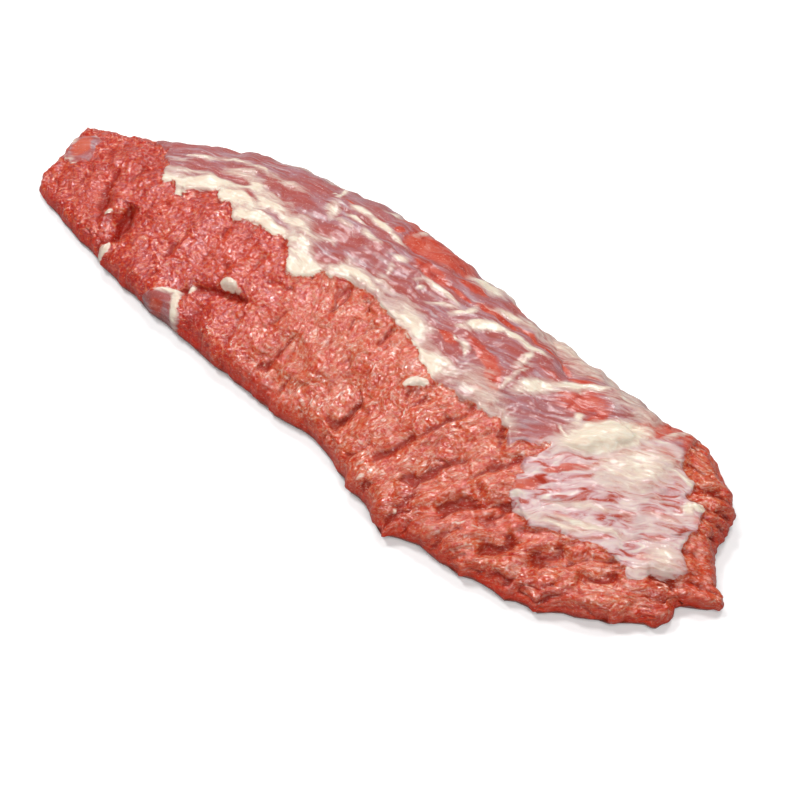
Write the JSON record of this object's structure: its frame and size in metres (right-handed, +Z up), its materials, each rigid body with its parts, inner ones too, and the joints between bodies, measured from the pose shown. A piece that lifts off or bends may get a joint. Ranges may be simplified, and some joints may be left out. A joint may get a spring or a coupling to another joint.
{
  "type": "beef flap meat",
  "caption": "Raw beef flap meat lying flat: a long tapering slab of coarse-grained muscle with a thin cover of fat and silverskin along its back.",
  "frame": {"origin": "on the table under the middle of the slab's bounding box", "axes": "+X along the slab towards the broad end with the tail, +Y towards the rounded side that keeps its silverskin, +Z up"},
  "size_m": [0.4378, 0.1366, 0.0393],
  "materials": {
    "raw_meat": "wet raw beef: red lean meat, with cream fat and pink silverskin over the back"
  },
  "bodies": {
    "root": {"flap_meat": "raw_meat"}
  },
  "joints": []
}
